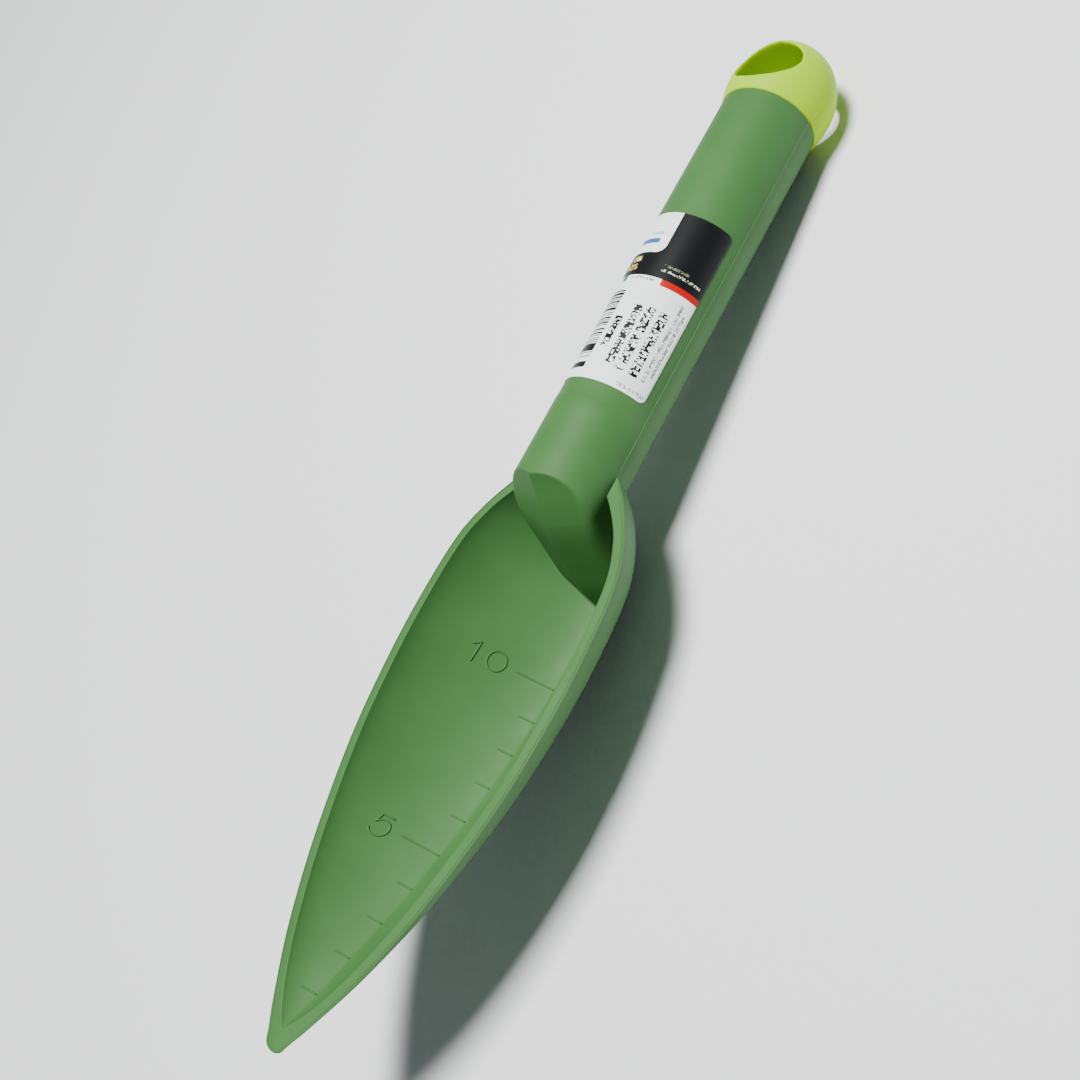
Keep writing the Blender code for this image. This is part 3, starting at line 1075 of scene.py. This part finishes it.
class Nodes:
    """Short ways to add and join the nodes of a material."""

    def __init__(self, name):
        self.material = bpy.data.materials.new(name)
        self.material.use_nodes = True
        self.tree = self.material.node_tree
        self.shader = self.tree.nodes["Principled BSDF"]

    def add(self, kind, **settings):
        node = self.tree.nodes.new(kind)
        for key, value in settings.items():
            setattr(node, key, value)
        return node

    def join(self, source, target):
        self.tree.links.new(source, target)

    def feed(self, socket, value):
        if isinstance(value, (int, float)):
            socket.default_value = value
        else:
            self.join(value, socket)

    def maths(self, operation, a, b=0.0):
        node = self.add("ShaderNodeMath", operation=operation)
        self.feed(node.inputs[0], a)
        self.feed(node.inputs[1], b)
        return node.outputs[0]

    def noise(self, vector, scale, detail):
        node = self.add("ShaderNodeTexNoise")
        node.inputs["Scale"].default_value = scale
        node.inputs["Detail"].default_value = detail
        node.inputs["Roughness"].default_value = NOISE_ROUGHNESS
        self.join(vector, node.inputs["Vector"])
        return node.outputs["Fac"]

    def ramp(self, value, stops):
        node = self.add("ShaderNodeValToRGB")
        for element, (place, colour) in zip(node.color_ramp.elements, stops):
            element.position = place
            element.color = (*colour, 1.0)
        self.join(value, node.inputs["Fac"])
        return node.outputs["Color"]

    def spread(self, value, low, high):
        node = self.add("ShaderNodeMapRange")
        node.inputs["To Min"].default_value = low
        node.inputs["To Max"].default_value = high
        self.join(value, node.inputs["Value"])
        return node.outputs["Result"]

    def blend(self, amount, a, b):
        """Mixes two colours, each a tuple or a socket."""
        node = self.add("ShaderNodeMix", data_type="RGBA")
        self.feed(node.inputs["Factor"], amount)
        for socket, value in ((node.inputs[6], a), (node.inputs[7], b)):
            if isinstance(value, tuple):
                socket.default_value = (*value, 1.0)
            else:
                self.join(value, socket)
        return node.outputs[2]

    def rounded_box(self, across, across_range, up, up_range, corner):
        """1 inside a box with rounded corners, 0 outside."""
        squares = []
        for value, (low, high) in ((across, across_range), (up, up_range)):
            offset = self.maths("ABSOLUTE", self.maths("SUBTRACT", value, (low + high) / 2))
            beyond = self.maths("SUBTRACT", offset, (high - low) / 2 - corner)
            beyond = self.maths("MAXIMUM", beyond, 0.0)
            squares.append(self.maths("MULTIPLY", beyond, beyond))
        return self.maths("LESS_THAN", self.maths("ADD", *squares), corner * corner)

    def random_cells(self, across, width, up, height):
        """1 or 0 at random in each cell of a grid."""
        cell = self.add("ShaderNodeCombineXYZ")
        sides = ((cell.inputs["X"], across, width), (cell.inputs["Y"], up, height))
        for socket, value, size in sides:
            self.join(self.maths("FLOOR", self.maths("DIVIDE", value, size)), socket)
        chance = self.add("ShaderNodeTexWhiteNoise", noise_dimensions="2D")
        self.join(cell.outputs["Vector"], chance.inputs["Vector"])
        return self.maths("GREATER_THAN", chance.outputs["Value"], EMPTY_CELLS)

    def bump(self, height, strength, distance):
        node = self.add("ShaderNodeBump")
        node.inputs["Strength"].default_value = strength
        node.inputs["Distance"].default_value = distance
        self.join(height, node.inputs["Height"])
        return node.outputs["Normal"]


def plastic(name, dark, light, roughness, grain, specular):
    """Moulded plastic: slight flow marks in colour and gloss over a fine spark-eroded grain."""
    nodes = Nodes(name)
    place = nodes.add("ShaderNodeTexCoord").outputs["Object"]
    nodes.shader.inputs["Specular IOR Level"].default_value = specular
    flow = nodes.noise(place, FLOW_SCALE, 4.0)
    colour = nodes.ramp(flow, ((0.35, dark), (0.70, light)))
    nodes.join(colour, nodes.shader.inputs["Base Color"])
    cloud = nodes.noise(place, CLOUD_SCALE, 3.0)
    gloss = nodes.spread(cloud, roughness - CLOUD_RANGE, roughness + CLOUD_RANGE)
    nodes.join(gloss, nodes.shader.inputs["Roughness"])
    fine = nodes.noise(place, GRAIN_SCALE, 2.0)
    rough = nodes.bump(fine, grain, GRAIN_HEIGHT)
    nodes.join(rough, nodes.shader.inputs["Normal"])
    return nodes.material


def label_print():
    """Generic print: plain fields, greeked lines of text and an unreadable bar pattern."""
    nodes = Nodes("label_print")
    place = nodes.add("ShaderNodeUVMap", uv_map="print").outputs["UV"]
    axes = nodes.add("ShaderNodeSeparateXYZ")
    nodes.join(place, axes.inputs["Vector"])
    around = nodes.maths("MULTIPLY", axes.outputs["X"], MILLIMETRES)
    along = nodes.maths("MULTIPLY", axes.outputs["Y"], MILLIMETRES)
    patterns = {"plain": None}
    for pattern, cell in (("letters", LETTER_CELL), ("small", SMALL_CELL), ("bars", BAR_CELL)):
        patterns[pattern] = nodes.random_cells(along, cell[0], around, cell[1])
    colour = LABEL_WHITE
    for (low_y, high_y), (low_a, high_a), corner, pattern, ink in LABEL_PRINT:
        mask = nodes.rounded_box(along, (low_y, high_y), around, (low_a, high_a), corner)
        if patterns[pattern] is not None:
            mask = nodes.maths("MULTIPLY", mask, patterns[pattern])
        colour = nodes.blend(mask, colour, ink)
    nodes.join(colour, nodes.shader.inputs["Base Color"])
    nodes.shader.inputs["Roughness"].default_value = 0.40
    nodes.shader.inputs["Specular IOR Level"].default_value = 0.20
    creases = nodes.noise(nodes.add("ShaderNodeTexCoord").outputs["Object"], CREASE_SCALE, 2.0)
    nodes.join(nodes.bump(creases, 0.15, CREASE_HEIGHT), nodes.shader.inputs["Normal"])
    return nodes.material


# ---------------------------------------------------------------- stage

FLOOR_REACH = 6.0
FLOOR_COLOUR = (0.78, 0.80, 0.82, 1.0)
FLOOR_ROUGHNESS = 0.85
SKY_COLOUR = (0.86, 0.94, 1.0, 1.0)
SKY_STRENGTH = 0.16
KEY_PLACE = (0.03, 0.24, 1.38)
KEY_COLOUR = (1.0, 0.99, 0.96)
KEY_SIZE = 0.36
KEY_POWER = 50.0


def key_light():
    """One soft square light overhead, aimed at the middle of the trowel."""
    data = bpy.data.lights.new("key", "AREA")
    data.shape = "SQUARE"
    data.size = KEY_SIZE
    data.energy = KEY_POWER
    data.color = KEY_COLOUR
    light = bpy.data.objects.new("key", data)
    bpy.context.scene.collection.objects.link(light)
    light.location = KEY_PLACE
    light.rotation_euler = (-Vector(KEY_PLACE)).to_track_quat("-Z", "Y").to_euler()


def stage(level):
    """Pale floor at the height the trowel lies on, a faint sky and the light."""
    mesh = bpy.data.meshes.new("floor")
    corners = [(-1, -1), (1, -1), (1, 1), (-1, 1)]
    points = [(x * FLOOR_REACH, y * FLOOR_REACH, level) for x, y in corners]
    mesh.from_pydata(points, [], [(0, 1, 2, 3)])
    floor = bpy.data.objects.new("floor", mesh)
    bpy.context.scene.collection.objects.link(floor)
    nodes = Nodes("pale_floor")
    nodes.shader.inputs["Base Color"].default_value = FLOOR_COLOUR
    nodes.shader.inputs["Roughness"].default_value = FLOOR_ROUGHNESS
    mesh.materials.append(nodes.material)
    world = bpy.data.worlds.new("studio")
    bpy.context.scene.world = world
    world.use_nodes = True
    sky = world.node_tree.nodes["Background"]
    sky.inputs["Color"].default_value = SKY_COLOUR
    sky.inputs["Strength"].default_value = SKY_STRENGTH
    key_light()


def camera():
    """Camera at the photograph's angle, placed from the rim frame."""
    data = bpy.data.cameras.new("camera")
    data.lens = CAMERA_LENS
    data.sensor_width = SENSOR
    data.clip_start = 0.01
    view = bpy.data.objects.new("camera", data)
    bpy.context.scene.collection.objects.link(view)
    look = (CAMERA_TARGET - CAMERA_PLACE).to_track_quat("-Z", "Y").to_matrix().to_4x4()
    roll = Matrix.Rotation(CAMERA_ROLL, 4, "Z")
    view.matrix_world = REST @ Matrix.Translation(CAMERA_PLACE) @ look @ roll
    bpy.context.scene.camera = view


# ---------------------------------------------------------------- the object

olive = plastic(
    "olive_plastic",
    dark=(0.040, 0.128, 0.033),
    light=(0.048, 0.145, 0.040),
    roughness=0.58,
    grain=0.38,
    specular=0.20,
)
lime = plastic(
    "lime_plastic",
    dark=(0.34, 0.58, 0.0),
    light=(0.37, 0.62, 0.0),
    roughness=0.40,
    grain=0.06,
    specular=0.06,
)
film = label_print()

body = moulding(olive)
scale = depth_scale(olive)
cap = end_cap(lime)
line = cap_line(lime)
sheet = label(film)
slots = {
    body: "olive_plastic",
    scale: "olive_plastic",
    cap: "lime_plastic",
    line: "lime_plastic",
    sheet: "label_film",
}
for piece, slot in slots.items():
    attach(piece, "root")
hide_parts("trowel_body")
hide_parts("end_cap")
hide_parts("label")

visual_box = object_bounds()
stage(visual_box[0][2])
camera()
